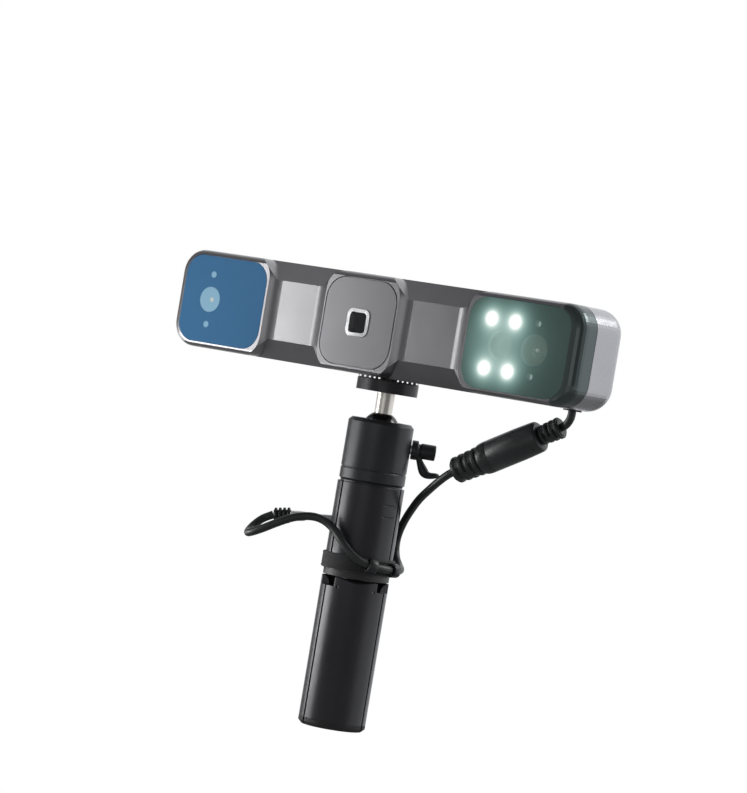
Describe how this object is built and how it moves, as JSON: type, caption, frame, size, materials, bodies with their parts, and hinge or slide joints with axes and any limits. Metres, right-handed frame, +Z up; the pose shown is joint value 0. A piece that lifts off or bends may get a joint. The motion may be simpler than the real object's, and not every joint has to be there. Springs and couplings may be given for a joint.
{
  "type": "handheld scanner",
  "caption": "Handheld 3-D scanner: bar-shaped head with camera windows and lamps on a locking ball head, over a grip whose legs open into a mini tripod, with a short cord.",
  "frame": {"origin": "middle of the grip, on its axis, where the hand holds it", "axes": "+X along the head towards the end that the cord leaves, -Y out of the head's front, +Z up the grip's axis to the head"},
  "size_m": [0.212, 0.0523, 0.1903],
  "materials": {
    "graphite_shell": "satin",
    "silver_shell": "satin",
    "cover_grey": "satin",
    "blue_glass": "gloss",
    "smoke_glass": "gloss",
    "dark_glass": "gloss",
    "lens_glass": "gloss",
    "bright_trim": "polished",
    "barrel_black": "matte",
    "lamp_white": "gloss",
    "board_green": "satin",
    "bench_alloy": "machined",
    "brass": "machined",
    "steel": "machined",
    "stem_steel": "satin",
    "ball_dark": "polished",
    "bearing_plastic": "satin",
    "black_alloy": "satin",
    "grip_black": "satin",
    "black_rubber": "matte",
    "cord_black": "satin",
    "connector_black": "satin",
    "plug_white": "gloss",
    "key_grey": "satin",
    "key_accent": "satin"
  },
  "bodies": {
    "root": {"ball_housing": "black_alloy", "tie_screw": "steel", "grip_shell": "grip_black", "leg_hub": "grip_black", "leg_pins": "steel", "cable_band": "black_rubber", "main_cord": "cord_black", "plug_boot": "cord_black", "plug_body": "plug_white", "plug_shell": "connector_black"},
    "pan_ring": {"seat_ring": "bearing_plastic"},
    "roll_cup": {"ball_cup": "bearing_plastic"},
    "head": {"front_shell": "graphite_shell", "rear_shell": "silver_shell", "shell_seal": "black_rubber", "left_window": "blue_glass", "right_window": "smoke_glass", "centre_cover": "cover_grey", "slot_bezel": "bright_trim", "slot_window": "dark_glass", "pattern_projector": "barrel_black", "left_camera": "barrel_black", "right_camera": "barrel_black", "left_lens": "lens_glass", "right_lens": "lens_glass", "flood_lens": "lens_glass", "flood_lamp": "barrel_black", "lamp_board": "board_green", "lamp_leds": "lamp_white", "marker_leds": "lamp_white", "optical_bench": "bench_alloy", "board_posts": "brass", "main_board": "board_green", "heat_sink": "bench_alloy", "shell_screws": "steel", "thread_insert": "brass", "cable_gland": "black_rubber", "status_light": "lamp_white", "rubber_pad": "black_rubber", "mount_disc": "black_alloy", "camera_stud": "steel", "stem": "stem_steel", "ball": "ball_dark", "lead_cord": "cord_black", "lead_boot": "cord_black", "connector_body": "connector_black", "connector_boot": "cord_black"},
    "lever": {"clamp_lever": "black_alloy", "clamp_screw": "steel"},
    "pusher": {"clamp_pusher": "brass"},
    "front_leg": {"leg_a": "grip_black", "foot_a": "black_rubber"},
    "right_leg": {"leg_b": "grip_black", "foot_b": "black_rubber"},
    "left_leg": {"leg_c": "grip_black", "foot_c": "black_rubber"},
    "scan_key": {"scan_button": "key_accent"},
    "upper_key": {"up_key": "key_grey"},
    "lower_key": {"down_key": "key_grey"}
  },
  "joints": [
    {"name": "head_pan", "type": "hinge", "parent": "root", "child": "pan_ring", "pos_m": [0, 0, 0.0745], "axis": [0, 0, 1], "range_deg": [-45, 45], "deforming": ["main_cord"]},
    {"name": "head_roll", "type": "hinge", "parent": "pan_ring", "child": "roll_cup", "pos_m": [0, 0, 0.0745], "axis": [0, 1, 0], "range_deg": [-25, 25], "deforming": ["main_cord"]},
    {"name": "head_nod", "type": "hinge", "parent": "roll_cup", "child": "head", "pos_m": [0, 0, 0.0745], "axis": [1, 0, 0], "range_deg": [-25, 25], "deforming": ["main_cord"]},
    {"name": "lever_turn", "type": "hinge", "parent": "root", "child": "lever", "pos_m": [0, 0, 0.0685], "axis": [0.766, 0.6428, 0], "range_deg": [0, 180]},
    {"name": "pusher_slide", "type": "slide", "parent": "root", "child": "pusher", "axis": [0.766, 0.6428, 0], "range_m": [0, 0.0004]},
    {"name": "front_leg_open", "type": "hinge", "parent": "root", "child": "front_leg", "pos_m": [0.0072, -0.00858, 0.0073], "axis": [-0.766, -0.6428, 0], "range_deg": [0, 45]},
    {"name": "right_leg_open", "type": "hinge", "parent": "root", "child": "right_leg", "pos_m": [0.00383, 0.01052, 0.0073], "axis": [0.9397, -0.342, 0], "range_deg": [0, 45]},
    {"name": "left_leg_open", "type": "hinge", "parent": "root", "child": "left_leg", "pos_m": [-0.01103, -0.00194, 0.0073], "axis": [-0.1736, 0.9848, 0], "range_deg": [0, 45]},
    {"name": "scan_press", "type": "slide", "parent": "head", "child": "scan_key", "axis": [0, -1, 0], "range_m": [0, 0.0008], "stiffness_N_per_m": 1500, "springref_m": -0.0004},
    {"name": "up_press", "type": "slide", "parent": "head", "child": "upper_key", "axis": [0, -1, 0], "range_m": [0, 0.0008], "stiffness_N_per_m": 900, "springref_m": -0.0004},
    {"name": "down_press", "type": "slide", "parent": "head", "child": "lower_key", "axis": [0, -1, 0], "range_m": [0, 0.0008], "stiffness_N_per_m": 900, "springref_m": -0.0004}
  ],
  "couplings": [
    {"joint": "pusher_slide", "follows": "lever_turn", "m_per_rad": 0.000127}
  ]
}
